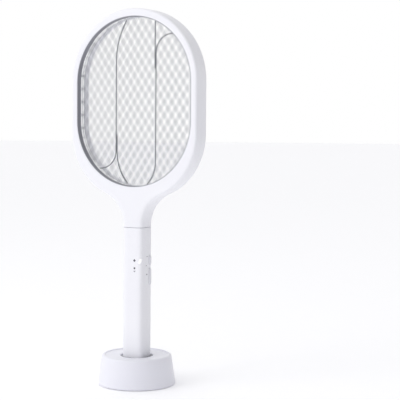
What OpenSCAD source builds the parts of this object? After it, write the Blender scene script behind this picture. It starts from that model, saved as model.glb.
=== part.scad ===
// Electric fly swatter standing in its charging base.
// Millimetres, +Z up, origin on the table at the centre of the base.
// The net faces -Y, and the two side keys are on the +X side of the handle.

/* [Charging base] */
// Outer diameter of the base at its lower edge
base_d = 100; // [96:1:120]
// Outer diameter of the base under its rounded top edge
base_top_d = 90; // [84:1:94]
// Height of the base's top edge above the table
base_h = 38.3; // [34:0.1:48]
// Radius of the base's rounded top edge
base_edge_r = 3.5; // [1:0.5:5]
// Thickness of the base's walls
base_wall = 2.2; // [1.6:0.1:3]
// Diameter of the well that the handle drops into
well_d = 42; // [40:0.5:52]
// Fall of the dished top from its rim to the well
dish_fall = 1.6; // [1.5:0.1:4]
// Height of the shadow gap under the base, which the rubber foot stands in
foot_gap = 1; // [0.5:0.1:2]
// Outer diameter of the rubber foot ring
foot_d = 89; // [80:1:91]
// Thickness of the bottom plate
plate_t = 2; // [1.6:0.1:3]
// Thickness of the steel ballast
ballast_t = 6; // [3:0.5:8]

/* [Handle] */
// Width of the handle
handle_w = 29.8; // [28:0.2:36]
// Depth of the handle and of the head, front to back
handle_d = 28; // [26:0.5:34]
// Corner radius of the handle's section
handle_r = 6.5; // [5:0.5:7]
// Wall thickness of the handle shells
handle_wall = 2; // [1.6:0.1:2.5]
// Height above the table of the seam between handle and head
seam_z = 202; // [190:1:250]
// Gap on each side between the handle and its socket
socket_gap = 0.4; // [0.3:0.1:0.8]

/* [Head] */
// Width of the opening in the frame
open_w = 166; // [138:1:200]
// Height of the opening in the frame
open_h = 215; // [185:1:270]
// Height of the lowest point of the opening above the seam
chin_h = 51.7; // [48:0.5:70]
// Width of the frame's face at its sides
rim_w = 8.3; // [7.5:0.1:12]
// Width of the frame's face at its top
rim_top_w = 9.8; // [7.5:0.1:14]
// Radius of the frame's two lower corners
chin_r = 83; // [75:1:100]
// Radius of the hollow curve between neck and frame
neck_r = 44; // [36:1:50]
// Radius on the frame's outer edges
rim_edge_r = 3; // [1:0.5:4]
// Length of the straight part of the neck above the seam
neck_straight = 2.5; // [1:0.5:6]

/* [Nets] */
// Width of one diamond of the mesh
mesh_w = 10.9; // [9:0.1:16]
// Height of one diamond of the mesh
mesh_h = 16.8; // [13:0.1:24]
// Width of a mesh wire
wire_w = 0.5; // [0.4:0.1:1.2]
// Thickness of each net
net_t = 0.9; // [0.6:0.1:1.2]
// Distance from the middle grid to the middle of a guard net
net_pitch = 4.2; // [3.6:0.1:6]
// Width of the hoop round each net, under the frame's lip
hoop_w = 4.5; // [3:0.1:5]
// Thickness of the dark liner inside the frame's lip
liner_t = 0.8; // [0.5:0.1:1.2]
// Diameter of the bracing rods on the guard nets
rod_d = 1.2; // [1:0.1:1.6]
// How far from the middle the long bracing rods stand
long_rod_x = 29; // [24:0.5:34]

/* [Keys] */
// Height of the middle of the upper side key above the table
mode_key_z = 159.75; // [150:0.25:170]
// Length of the upper side key
mode_key_len = 11.5; // [9:0.5:14]
// Height of the middle of the long side key above the table
zap_key_z = 138.5; // [120:0.5:140]
// Length of the long side key
zap_key_len = 21; // [16:0.5:25]
// Width of both side keys
key_w = 4.6; // [4:0.2:7]
// Distance of the side keys behind the handle's parting line
key_y = 6.6; // [5:0.1:7]
// How far a side key stands out of the handle
key_proud = 1.3; // [0.8:0.1:2]
// Travel of the side keys
key_travel = 0.6; // [0.3:0.1:0.8]
// Height of the small oval key on the handle's front corner
oval_key_z = 159.5; // [150:0.5:165]
// Length of the oval key
oval_key_len = 7.4; // [6:0.2:9]
// Width of the oval key
oval_key_w = 3.6; // [3:0.1:4.5]

/* [Battery] */
// Diameter of the lithium cell
cell_d = 18.3; // [14:0.1:18.5]
// Length of the lithium cell
cell_len = 65; // [50:0.5:66]

/* [Hidden] */
$fn = 96;

// Colours of the plastics and metals
white = "#f1f1f4";
steel = "#b9bcc2";
dark_steel = "#55585e";
brass = "#c9a24a";
board_green = "#2f6b4a";
black = "#2a2a2c";

// Clearances
touch = 0.05;       // between pieces that seat against each other
slip = 0.35;        // round a key in its window
dock_gap = 0.3;     // under the handle's end in its socket
over = 1;           // how far a cutter reaches past what it cuts

// Base
plate_z = foot_gap + 0.2;
plate_top = plate_z + plate_t;
foot_w = 6.6;
foot_groove = 0.6;
lip_w = 3.6;
lip_fall = 1.3;
well_deep = 1.2;
well_floor_z = base_h - dish_fall - well_deep;
flange_t = 2;
cup_wall = 1.8;
cup_floor_z = 6;
cup_floor_t = 2;
ballast_slot = 32;
boss_r = 3.6;
boss_hole_r = 1.3;
boss_circle_r = foot_d / 2 - foot_w - boss_r;
boss_top = base_h - dish_fall - base_wall;
board_w = 26;
charge_board_z = 8;
charge_board_t = 1.6;
charge_board_len = 18;
inlet_w = 9;
inlet_h = 3.2;
inlet_len = 7.2;
inlet_z = charge_board_z + charge_board_t + inlet_h / 2;
contact_x = 6;

// Handle
handle_z0 = cup_floor_z + cup_floor_t + dock_gap;
cap_t = 2;
cap_spigot = 8;
shell_z0 = handle_z0 + cap_t;
inner_w = handle_w - 2 * handle_wall;
inner_d = handle_d - 2 * handle_wall;
inner_r = handle_r - handle_wall;
cap_screw_z = shell_z0 + cap_spigot / 2;
cell_z0 = shell_z0 + cap_spigot + 6;
cradle_end = 1.5;
cradle_wall = 1.2;
cradle_z0 = cell_z0 - cradle_end - 0.5;
cradle_z1 = cell_z0 + cell_len + cradle_end + 0.5;
mid_screw_z = cradle_z1 + 6;
main_board_z0 = mid_screw_z + 7;
main_board_z1 = seam_z - 13;
main_board_t = 1.6;
main_board_w = inner_w - 3;
spigot_wall = 2.4;
spigot_z0 = seam_z - 11;
spigot_z1 = seam_z + 12;
spigot_screws_z = [seam_z - 6, seam_z + 7];
screw_r = 1.2;
screw_head_r = 2.4;
screw_head_t = 1.2;
screw_sink = 0.1;
slot_w = 0.6;
slot_deep = 0.6;
base_screw_len = 14;
neck_screw_len = 20;
handle_boss_r = 3;

// Keys
key_flange = 0.8;
key_gap = 0.4;
plunger_gap = key_travel + 0.3;
plunger_len = 0.8;
switch_d = 4;
corner_x = handle_w / 2 - handle_r;
corner_y = -(handle_d / 2 - handle_r);
light_r = 1.3;
light_x = 4.2;
light_heights = [mode_key_z - 9.25, mode_key_z - 12.95];
oval_turn = 31.5;   // from straight ahead round the handle's corner
oval_lean = 20;
oval_proud = 0.4;
oval_travel = 0.5;
oval_reach = oval_key_w / 2 + 0.4 + (oval_key_len - oval_key_w + 0.8) / 2 * sin(oval_lean);
oval_flange_top = sqrt(pow(inner_r - key_gap, 2) - pow(oval_reach, 2));

// Head
open_r = open_w / 2;
half_w = open_r + rim_w;
open_z0 = seam_z + chin_h;
low_z = open_z0 + open_r;
high_z = open_z0 + open_h - open_r;
crown_z = high_z + rim_top_w - rim_w;
fillet_x = handle_w / 2 + neck_r;
fillet_z = seam_z + neck_straight;
chin_x = half_w - chin_r;
chin_z = fillet_z + sqrt(pow(chin_r + neck_r, 2) - pow(fillet_x - chin_x, 2));
pocket_r = open_r + hoop_w + 0.7;
pocket_h = net_pitch + net_t / 2 + 0.1;
half_d = handle_d / 2;
edge_steps = 4;
liner_in_r = open_r - liner_t;
liner_back = 1.4;   // between the pocket and the liner
liner_h0 = pocket_h + liner_back;
liner_h1 = half_d - 0.6;
rod_h = net_pitch + net_t / 2 + 0.02;
rod_limit_r = open_r - liner_t - rod_d;
short_rod_x = long_rod_x - rod_d - 0.2;
bow_r = 23;
top_bow_z = high_z + 37.2;
low_bow_z = low_z - 37.7;
crown_bend_r = 98;
crown_bend_z = high_z + 26;
chin_bend_r = 40;
chin_bend_z = low_z - 50.7;
short_bend_r = 62;
splice = 20;        // how far a short rod runs beside its long one
duct_x = 6;
duct_w = 4;
neck_cavity_z1 = open_z0 - 16.5;
neck_screw_at = [[0, open_z0 - 10.5], [-34, open_z0 - 5.5], [34, open_z0 - 5.5]];

// ---------- shared shapes ----------

module rounded_rect(w, d, r) {
    square([w, d - 2 * r], center = true);
    square([w - 2 * r, d], center = true);
    for (x = [-1, 1])
        for (y = [-1, 1])
            translate([x * (w / 2 - r), y * (d / 2 - r)])
                circle(r = r);
}

// Front half of a rounded rectangle, with its flat side on the parting line
module half_section(w, d, r) {
    intersection() {
        rounded_rect(w, d, r);
        translate([-w, -d])
            square([2 * w, d]);
    }
}

// The long shape of the opening, grown all round
module stadium(grow) {
    r = open_r + grow;
    translate([0, low_z])
        circle(r = r);
    translate([0, high_z])
        circle(r = r);
    translate([-r, low_z])
        square([2 * r, high_z - low_z]);
}

// A slot-shaped outline with round ends, long along Y
module long_round(w, len) {
    square([w, len - w], center = true);
    for (s = [-1, 1])
        translate([0, s * (len - w) / 2])
            circle(d = w);
}

// Raises a shape drawn in X and Z between two depths in front of the parting plane
module deep(from, to) {
    translate([0, -from, 0])
        rotate([90, 0, 0])
            linear_extrude(to - from)
                children();
}

module upright(x, y, z0, z1, r) {
    translate([x, y, z0])
        cylinder(h = z1 - z0, r = r);
}

// A cross-head screw that starts at the origin with its head and runs up +Z
module screw(len) {
    difference() {
        union() {
            cylinder(h = len, r = screw_r);
            cylinder(h = screw_head_t, r = screw_head_r);
        }
        for (a = [0, 90])
            rotate([0, 0, a])
                translate([-screw_head_r, -slot_w / 2, -over])
                    cube([2 * screw_head_r, slot_w, over + slot_deep]);
    }
}

// Places a screw, or its hole, that goes into the back of the swatter
module from_back(x, z, sink) {
    translate([x, half_d - sink, z])
        rotate([90, 0, 0])
            children();
}

// ---------- charging base ----------

function base_r(z) = base_d / 2 - (base_d - base_top_d) / 2
    * (z - foot_gap) / (base_h - base_edge_r - foot_gap);
function arc(x, y, r, a0, a1, steps) =
    [for (i = [0:steps]) let (a = a0 + (a1 - a0) * i / steps) [x + r * cos(a), y + r * sin(a)]];

module base_shell() {
    top_r = base_top_d / 2;
    rim_x = top_r - lip_w;
    dish_x0 = rim_x - 2;
    well_r = well_d / 2;
    inner_top = base_h - dish_fall - base_wall;
    color(white)
        difference() {
            union() {
                rotate_extrude()
                    polygon(concat(
                        [[base_r(foot_gap) - base_wall, foot_gap], [base_r(foot_gap), foot_gap]],
                        arc(top_r - base_edge_r, base_h - base_edge_r, base_edge_r, 0, 90, 8),
                        arc(rim_x, base_h - lip_fall, lip_fall, 90, 150, 4),
                        [[dish_x0, base_h - lip_fall - 0.1],
                         [well_r + 1, base_h - dish_fall],
                         [well_r, base_h - dish_fall - 0.6],
                         [well_r, well_floor_z - flange_t],
                         [well_r + base_wall, well_floor_z - flange_t],
                         [well_r + base_wall, inner_top],
                         [dish_x0, inner_top + dish_fall - lip_fall],
                         [top_r - base_edge_r, base_h - base_wall - 1],
                         [top_r - base_wall - 0.4, base_h - base_edge_r]]));
                for (a = [45:90:315])
                    rotate([0, 0, a])
                        upright(boss_circle_r, 0, plate_top + touch, boss_top + 1, boss_r);
            }
            for (a = [45:90:315])
                rotate([0, 0, a])
                    upright(boss_circle_r, 0, 0, plate_top + 16, boss_hole_r);
            translate([0, base_r(inlet_z), inlet_z])
                rotate([90, 90, 0])
                    translate([0, 0, -3])
                        linear_extrude(3 + base_wall + 2)
                            long_round(inlet_h + 0.4, inlet_w + 0.4);
        }
}

module bottom_plate() {
    plate_r = base_r(plate_top) - base_wall - 0.2;
    color(white)
        difference() {
            union() {
                upright(0, 0, plate_z, plate_top, plate_r);
                for (x = [-1, 1])
                    upright(x * (board_w / 2 - 3), charge_board_y() + 4,
                            plate_z, charge_board_z - touch, 2.2);
            }
            translate([0, 0, -over])
                difference() {
                    cylinder(h = over + plate_z + foot_groove, r = foot_d / 2 + touch);
                    translate([0, 0, -over])
                        cylinder(h = 4 * over + plate_z, r = foot_d / 2 - foot_w - touch);
                }
            for (a = [45:90:315])
                rotate([0, 0, a]) {
                    upright(boss_circle_r, 0, 0, plate_top + over, screw_r + 0.2);
                    upright(boss_circle_r, 0, 0, plate_z + screw_head_t + touch, screw_head_r + 0.2);
                }
        }
}

module foot_ring() {
    color(black)
        difference() {
            upright(0, 0, 0, plate_z + foot_groove, foot_d / 2);
            upright(0, 0, -over, plate_top, foot_d / 2 - foot_w);
        }
}

module ballast_ring() {
    inner = norm([handle_w / 2, handle_d / 2]) + 2;
    color(dark_steel)
        difference() {
            upright(0, 0, plate_top + touch, plate_top + touch + ballast_t, foot_d / 2 - 2.5);
            upright(0, 0, 0, base_h, inner);
            translate([-ballast_slot / 2, 0, 0])
                cube([ballast_slot, base_d, base_h]);
            for (a = [45:90:315])
                rotate([0, 0, a])
                    upright(boss_circle_r, 0, 0, base_h, boss_r + 0.5);
        }
}

module socket_cup() {
    hole_w = handle_w + 2 * socket_gap;
    hole_d = handle_d + 2 * socket_gap;
    hole_r = handle_r + socket_gap;
    color(white)
        difference() {
            union() {
                upright(0, 0, well_floor_z - flange_t, well_floor_z, well_d / 2 - touch);
                translate([0, 0, plate_top + touch])
                    linear_extrude(well_floor_z - plate_top - touch)
                        rounded_rect(hole_w + 2 * cup_wall, hole_d + 2 * cup_wall, hole_r + cup_wall);
            }
            translate([0, 0, cup_floor_z + cup_floor_t])
                linear_extrude(base_h)
                    rounded_rect(hole_w, hole_d, hole_r);
            linear_extrude(cup_floor_z)
                rounded_rect(hole_w, hole_d, hole_r);
            for (x = [-contact_x, contact_x])
                translate([x - 1.7, -3.2, 0])
                    cube([3.4, 6.4, base_h]);
            translate([-contact_x - 3, 0, 0])
                cube([2 * contact_x + 6, base_d, cup_floor_z]);
        }
}

// Two sprung brass leaves that lie in the floor of the socket
module charge_contacts() {
    leaf_top = cup_floor_z + cup_floor_t + 0.15;
    color(brass)
        for (x = [-contact_x, contact_x]) {
            translate([x - 1.5, -3, leaf_top - 0.4])
                cube([3, 6, 0.4]);
            translate([x - 1.5, -3, cup_floor_z - 1])
                cube([3, 0.4, leaf_top - cup_floor_z + 1]);
            translate([x - 1.5, -3, cup_floor_z - 1])
                cube([3, 6, 0.4]);
        }
}

function charge_board_y() = base_r(inlet_z) - charge_board_len - 4;

module charge_board() {
    y0 = charge_board_y();
    color(board_green)
        translate([-board_w / 2, y0, charge_board_z])
            cube([board_w, charge_board_len, charge_board_t]);
    color(black)
        translate([-board_w / 2 + 3, y0 + 3, charge_board_z + charge_board_t])
            cube([6, 5, 1.5]);
}

module usb_inlet() {
    mouth_y = base_r(inlet_z) - 0.4;
    color(steel)
        translate([0, mouth_y, inlet_z])
            rotate([90, 90, 0])
                difference() {
                    linear_extrude(inlet_len)
                        long_round(inlet_h, inlet_w);
                    translate([0, 0, -over])
                        linear_extrude(inlet_len)
                            difference() {
                                long_round(inlet_h - 0.6, inlet_w - 0.6);
                                square([0.7, inlet_w - 2.4], center = true);
                            }
                }
}

// Wires from the two leaves to the charging board
module base_leads() {
    lead_r = 0.7;
    lead_z = cup_floor_z - 1.8;
    end_y = charge_board_y() + 2;
    color("#b33a3a")
        for (x = [-contact_x, contact_x]) {
            upright(x, 2, lead_z, cup_floor_z - 1, lead_r);
            translate([x, 2, lead_z])
                sphere(r = lead_r);
            translate([x, 2, lead_z])
                rotate([-90, 0, 0])
                    cylinder(h = end_y - 2, r = lead_r);
            translate([x, end_y, lead_z])
                sphere(r = lead_r);
            upright(x, end_y, lead_z, charge_board_z, lead_r);
        }
}

module base_screws() {
    color(steel)
        for (a = [45:90:315])
            rotate([0, 0, a])
                translate([boss_circle_r, 0, plate_z])
                    screw(base_screw_len);
}

// ---------- handle ----------

// One half of the handle's wall, with its flat edges on the parting line
module shell_half() {
    translate([0, 0, shell_z0])
        linear_extrude(seam_z - shell_z0)
            difference() {
                half_section(handle_w, handle_d, handle_r);
                half_section(inner_w, inner_d, inner_r);
            }
}

// Places a child on the handle's rounded front corner, with +Z pointing out of it
module on_corner(out) {
    translate([corner_x + out * sin(oval_turn), corner_y - out * cos(oval_turn), oval_key_z])
        rotate([0, 0, oval_turn])
            rotate([90, 0, 0])
                children();
}

module handle_front_shell() {
    color(white)
        difference() {
            union() {
                shell_half();
                translate([0, touch - half_d + handle_wall / 2, mid_screw_z])
                    rotate([-90, 0, 0])
                        cylinder(h = half_d - handle_wall / 2 - 2 * touch, r = handle_boss_r);
            }
            translate([0, touch - half_d + handle_wall + 1, mid_screw_z])
                rotate([-90, 0, 0])
                    cylinder(h = half_d, r = screw_r + touch);
            for (z = light_heights)
                translate([light_x, -half_d - over, z])
                    rotate([-90, 0, 0])
                        cylinder(h = handle_wall + 2 * over, r = light_r + touch);
            on_corner(0)
                linear_extrude(2 * handle_r)
                    rotate([0, 0, -oval_lean])
                        long_round(oval_key_w + 2 * slip, oval_key_len + 2 * slip);
        }
}

module handle_rear_shell() {
    color(white)
        difference() {
            mirror([0, 1, 0])
                shell_half();
            for (k = [[mode_key_z, mode_key_len], [zap_key_z, zap_key_len]])
                translate([handle_w / 2 - handle_wall - 3, key_y, k[0]])
                    rotate([90, 0, 90])
                        linear_extrude(handle_wall + 6)
                            long_round(key_w + 2 * slip, k[1] + 2 * slip);
            for (z = concat([cap_screw_z, mid_screw_z], [spigot_screws_z[0]]))
                screw_seat(z);
        }
}

// The clearance hole and sunk seat of one screw in the back of the swatter
module screw_seat(z) {
    from_back(0, z, -over)
        cylinder(h = handle_wall + 3 * over, r = screw_r + 0.2);
    from_back(0, z, -over)
        cylinder(h = over + screw_sink + screw_head_t + touch, r = screw_head_r + 0.2);
}

module handle_end_cap() {
    color(white)
        difference() {
            union() {
                translate([0, 0, handle_z0])
                    linear_extrude(cap_t)
                        rounded_rect(handle_w, handle_d, handle_r);
                translate([0, 0, shell_z0])
                    linear_extrude(cap_spigot)
                        difference() {
                            rounded_rect(inner_w - 2 * touch, inner_d - 2 * touch, inner_r);
                            rounded_rect(inner_w - 4, inner_d - 4, inner_r - 2);
                        }
                translate([-handle_boss_r, half_d - handle_wall - 8, shell_z0])
                    cube([2 * handle_boss_r, 8 - touch, cap_spigot]);
            }
            for (x = [-contact_x, contact_x]) {
                upright(x, 0, 0, handle_z0 + 0.6, 3 + touch);
                upright(x, 0, 0, shell_z0 + over, 0.8 + touch);
            }
            translate([0, half_d, cap_screw_z])
                rotate([90, 0, 0])
                    cylinder(h = 9, r = screw_r + touch);
        }
}

module charge_pads() {
    color(brass)
        for (x = [-contact_x, contact_x]) {
            upright(x, 0, handle_z0, handle_z0 + 0.6 - touch, 3);
            upright(x, 0, handle_z0 + 0.2, shell_z0 + 1.5, 0.8);
        }
}

// A square tube inside the seam that joins the head to the handle
module neck_spigot() {
    w = inner_w - 2 * touch;
    d = inner_d - 2 * touch;
    color(white)
        difference() {
            translate([0, 0, spigot_z0])
                linear_extrude(spigot_z1 - spigot_z0)
                    difference() {
                        rounded_rect(w, d, inner_r);
                        rounded_rect(w - 2 * spigot_wall, d - 2 * spigot_wall, inner_r - spigot_wall);
                    }
            for (z = spigot_screws_z)
                translate([0, half_d, z])
                    rotate([90, 0, 0])
                        cylinder(h = handle_wall + spigot_wall + over, r = screw_r + touch);
        }
}

module handle_screws() {
    color(steel) {
        from_back(0, cap_screw_z, screw_sink)
            screw(8);
        from_back(0, mid_screw_z, screw_sink)
            screw(18);
        for (z = spigot_screws_z)
            from_back(0, z, screw_sink)
                screw(handle_wall + 2);
    }
}

module battery_cell() {
    color("#3c7fb0")
        upright(0, 0, cell_z0 + touch, cell_z0 + cell_len - touch, cell_d / 2);
}

// A trough that the cell lies in, open to the front, with a wall at each end
module battery_cradle() {
    side = cell_d + 2 * cradle_wall + 0.2;
    color(black)
        difference() {
            translate([-side / 2, -2, cradle_z0])
                cube([side, side / 2 + 2, cradle_z1 - cradle_z0]);
            upright(0, 0, cradle_z0 + cradle_end, cradle_z1 - cradle_end, cell_d / 2 + 0.1);
        }
}

module battery_contacts() {
    color(steel)
        for (z = [cell_z0 - 0.5 + touch, cell_z0 + cell_len])
            translate([-3.5, -3.5, z])
                cube([7, 7, 0.5 - touch]);
}

module main_board() {
    color(board_green)
        translate([-main_board_w / 2, -main_board_t / 2, main_board_z0])
            cube([main_board_w, main_board_t, main_board_z1 - main_board_z0]);
}

module hv_transformer() {
    z = main_board_z0 + 12;
    color("#8a6a3a")
        difference() {
            translate([-6, -main_board_t / 2 - 9, z - 6.5])
                cube([12, 9 - touch, 13]);
            for (s = [-1, 1])
                translate([s * 6 - 2, -main_board_t / 2 - 9 - over, z - 4])
                    cube([4, 9 - 2 + over, 8]);
        }
}

module hv_capacitors() {
    color("#7c2f2a")
        for (x = [-6.5, 1])
            translate([x - 3, main_board_t / 2 + touch, main_board_z1 - 16])
                cube([6, 8, 12]);
}

module board_diodes() {
    color(black)
        for (i = [0:2])
            translate([-9.5, -main_board_t / 2 - 1.3, main_board_z0 + 24 + 3.5 * i])
                rotate([0, 90, 0])
                    cylinder(h = 7, r = 1.2);
}

// Switches behind the keys: two on the board's back, one behind the front corner
module tact_switches() {
    tip = handle_w / 2 - handle_wall - key_flange - key_gap - plunger_gap;
    body = tip - plunger_len;
    color(black) {
        for (z = [mode_key_z, zap_key_z]) {
            translate([body - switch_d, main_board_t / 2 + touch, z - 3])
                cube([switch_d, 7, 6]);
            translate([body, key_y, z])
                rotate([0, 90, 0])
                    cylinder(h = plunger_len, r = 1.5);
        }
        on_corner(oval_switch_out())
            cylinder(h = 0.8, r = 1);
        on_corner(oval_switch_out() - 2)
            translate([-2, -2.6, 0])
                cube([4, 5.2, 2]);
    }
}

function oval_switch_out() = oval_flange_top - key_flange - oval_travel - 0.3 - 0.8;

// A post that carries the corner switch on the front of the board
module switch_riser() {
    top_y = corner_y - (oval_switch_out() - 2) * cos(oval_turn) + 1.4;
    x = corner_x + (oval_switch_out() - 2) * sin(oval_turn);
    color(black)
        translate([x - 2.2, top_y, oval_key_z - 2.6])
            cube([3, -main_board_t / 2 - touch - top_y, 5.2]);
}

// Wires from the pads at the bottom of the handle to the board, past the battery
module handle_leads() {
    lead_r = 0.6;
    y = half_d - handle_wall - lead_r - 0.15;
    z0 = shell_z0 + cap_spigot + 1;
    z1 = main_board_z0 + 3;
    color("#b33a3a")
        for (x = [-5, 5]) {
            upright(x, y, z0, z1, lead_r);
            translate([x, y, z1])
                sphere(r = lead_r);
            translate([x, y, z1])
                rotate([90, 0, 0])
                    cylinder(h = y - main_board_t / 2 - touch, r = lead_r);
        }
}

// Light guides of the two indicators, flush with the handle's front
module indicator_lights() {
    color("#d8dde6")
        for (z = light_heights)
            translate([light_x, -half_d, z])
                rotate([-90, 0, 0])
                    cylinder(h = handle_wall + 2, r = light_r);
}

// ---------- head ----------

// Outline of the head and neck in X and Z, drawn in by the given amount
module head_outline(inset) {
    for (s = [0, 1])
        mirror([s, 0]) {
            translate([chin_x, chin_z])
                circle(r = chin_r - inset);
            difference() {
                polygon([[-handle_w / 4, fillet_z], [fillet_x, fillet_z],
                         [chin_x, chin_z], [-handle_w / 4, chin_z]]);
                translate([fillet_x, fillet_z])
                    circle(r = neck_r + inset);
            }
        }
    translate([0, crown_z])
        circle(r = half_w - inset);
    translate([-half_w + inset, chin_z])
        square([2 * (half_w - inset), crown_z - chin_z]);
    translate([-handle_w / 2 + inset, seam_z])
        square([handle_w - 2 * inset, neck_straight + over]);
}

// One half of the frame: its rounded outer edge is built in fine steps, and it has
// the opening, the pocket for the nets, the hollow of the neck and the wires' duct
module frame_half() {
    difference() {
        union()
            for (i = [0:edge_steps]) {
                a = 90 * i / edge_steps;
                deep(0, half_d - rim_edge_r * (1 - sin(a)))
                    head_outline(rim_edge_r * (1 - cos(a)));
            }
        deep(-over, half_d + over)
            stadium(0);
        deep(-over, pocket_h)
            stadium(pocket_r - open_r);
        translate([0, 0, seam_z - over])
            linear_extrude(neck_cavity_z1 - seam_z + over)
                translate([0, over])
                    half_section(inner_w, inner_d + 2 * over, inner_r);
        deep(-over, pocket_h)
            translate([duct_x - duct_w / 2, neck_cavity_z1 - over])
                square([duct_w, low_z - neck_cavity_z1]);
    }
}

module front_frame() {
    color(white)
        difference() {
            frame_half();
            for (p = neck_screw_at)
                translate([p[0], over, p[1]])
                    rotate([90, 0, 0])
                        cylinder(h = half_d - 3, r = screw_r + touch);
        }
}

module rear_frame() {
    color(white)
        difference() {
            mirror([0, 1, 0])
                frame_half();
            for (p = neck_screw_at) {
                from_back(p[0], p[1], -over)
                    cylinder(h = half_d + 2 * over, r = screw_r + 0.2);
                from_back(p[0], p[1], -over)
                    cylinder(h = over + screw_sink + screw_head_t, r = screw_head_r + 0.2);
            }
            screw_seat(spigot_screws_z[1]);
        }
}

module neck_screws() {
    color(steel)
        for (p = neck_screw_at)
            from_back(p[0], p[1], screw_sink)
                screw(neck_screw_len);
}

// Dark ring that lines the inside of the front frame's lip
module front_liner() {
    color(dark_steel)
        deep(liner_h0, liner_h1)
            difference() {
                stadium(-touch);
                stadium(-liner_t);
            }
}

// A hoop filled with a lattice of diamond holes
module net() {
    side = norm([mesh_w, mesh_h]);
    shrink = 1 - wire_w * side / (mesh_w * mesh_h);
    cols = ceil(open_r / mesh_w) + 1;
    rows = ceil(open_h / mesh_h) + 1;
    middle = (low_z + high_z) / 2;
    deep(-net_t / 2, net_t / 2)
        difference() {
            stadium(0.5 + hoop_w);
            intersection() {
                stadium(0.5);
                for (j = [-rows:rows])
                    for (i = [-cols:cols]) {
                        x = (i + (j % 2 == 0 ? 0 : 0.5)) * mesh_w;
                        z = middle + j * mesh_h / 2;
                        past = max(low_z - z, z - high_z, 0);
                        if (norm([x, past]) < open_r + mesh_h / 2)
                            translate([x, z])
                                scale(shrink)
                                    polygon([[0, mesh_h / 2], [mesh_w / 2, 0],
                                             [0, -mesh_h / 2], [-mesh_w / 2, 0]]);
                    }
            }
        }
}

module front_guard_net() {
    color(steel)
        translate([0, -net_pitch, 0])
            net();
}

module hv_grid() {
    color(steel)
        net();
}

module rear_guard_net() {
    color(steel)
        translate([0, net_pitch, 0])
            net();
}

// Insulating hoop between the middle grid and a guard net
module spacer() {
    color("#d9d9d2")
        deep(net_t / 2 + touch, net_pitch - net_t / 2 - touch)
            difference() {
                stadium(0.5 + hoop_w);
                stadium(0.5);
            }
}

module front_spacer() {
    spacer();
}

module rear_spacer() {
    mirror([0, 1, 0])
        spacer();
}

// The outline of a rod's bend about (x, z), from the start angle through the sweep
module rod_bend(x, z, r, start, sweep) {
    reach = (r + rod_d) / cos(sweep / 2);
    translate([x, z])
        intersection() {
            difference() {
                circle(r = r + rod_d / 2);
                circle(r = r - rod_d / 2);
            }
            polygon([[0, 0],
                     reach * [cos(start), sin(start)],
                     reach * [cos(start + sweep), sin(start + sweep)]]);
        }
}

// The outline of an upright rod
module rod_upright(x, z0, z1) {
    translate([x - rod_d / 2, z0])
        square([rod_d, z1 - z0]);
}

// The outline of the straight end of a bow, from x out to the rods' outer limit
module bow_end(x, z, limit_z) {
    translate([x, z - rod_d / 2])
        square([sqrt(pow(rod_limit_r, 2) - pow(z - limit_z, 2)) - x, rod_d]);
}

// The angle at which a circle about (x, z) of radius r crosses the rods' outer limit,
// which is a circle about (0, limit_z), going the way that turn says
function limit_angle(x, z, r, limit_z, turn) =
    let (d = norm([x, z - limit_z]),
         k = (pow(rod_limit_r, 2) - d * d - r * r) / (2 * r))
    atan2(z - limit_z, x) + turn * acos(k / d);

// Bracing rods of the front net: on each side a long rod that turns out to the rim at one
// end, and beside it a short rod that carries on straight or inwards
module front_brace_rods() {
    crown_x = long_rod_x - crown_bend_r;
    chin_x = long_rod_x - chin_bend_r;
    short_bend_x = short_rod_x - short_bend_r;
    crown_end = limit_angle(crown_x, crown_bend_z, crown_bend_r, high_z, -1);
    chin_end = limit_angle(chin_x, chin_bend_z, chin_bend_r, low_z, 1);
    short_end = limit_angle(short_bend_x, low_bow_z, short_bend_r, low_z, 1);
    color(dark_steel)
        deep(rod_h, rod_h + rod_d) {
            mirror([1, 0]) {
                rod_upright(long_rod_x, low_bow_z, crown_bend_z);
                rod_bend(crown_x, crown_bend_z, crown_bend_r, 0, crown_end);
                rod_bend(long_rod_x + bow_r, low_bow_z, bow_r, 180, 90);
                bow_end(long_rod_x + bow_r, low_bow_z - bow_r, low_z);
                rod_upright(short_rod_x, low_bow_z, low_bow_z + splice);
                rod_bend(short_bend_x, low_bow_z, short_bend_r, short_end, -short_end);
            }
            rod_upright(long_rod_x, chin_bend_z, top_bow_z);
            rod_bend(long_rod_x + bow_r, top_bow_z, bow_r, 90, 90);
            bow_end(long_rod_x + bow_r, top_bow_z + bow_r, high_z);
            rod_bend(chin_x, chin_bend_z, chin_bend_r, chin_end, -chin_end);
            rod_upright(short_rod_x, top_bow_z - splice,
                        high_z + sqrt(pow(rod_limit_r, 2) - pow(short_rod_x, 2)));
        }
}

// Brass tags on the three hoops, in the duct below the opening
module grid_terminals() {
    tag_top = low_z - sqrt(pow(open_r + 0.5 + hoop_w, 2) - pow(duct_x - 1.5, 2)) - touch;
    color(brass)
        for (y = [-net_pitch, 0, net_pitch])
            translate([duct_x - 1.5, y - 0.25, open_z0 - 11])
                cube([3, 0.5, tag_top - open_z0 + 11]);
}

// Leads from the three tags down through the neck to the board
module grid_leads() {
    lead_r = 0.5;
    top_z = open_z0 - 11 - touch;
    low = main_board_z1 - 4;
    color("#b33a3a") {
        upright(duct_x, 0, main_board_z1 + touch, top_z, lead_r);
        for (s = [-1, 1]) {
            upright(duct_x, s * net_pitch, low, top_z, lead_r);
            translate([duct_x, s * net_pitch, low])
                sphere(r = lead_r);
            translate([duct_x, s * net_pitch, low])
                rotate([s * 90, 0, 0])
                    cylinder(h = net_pitch - main_board_t / 2 - touch, r = lead_r);
        }
    }
}

// ---------- keys ----------

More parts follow.
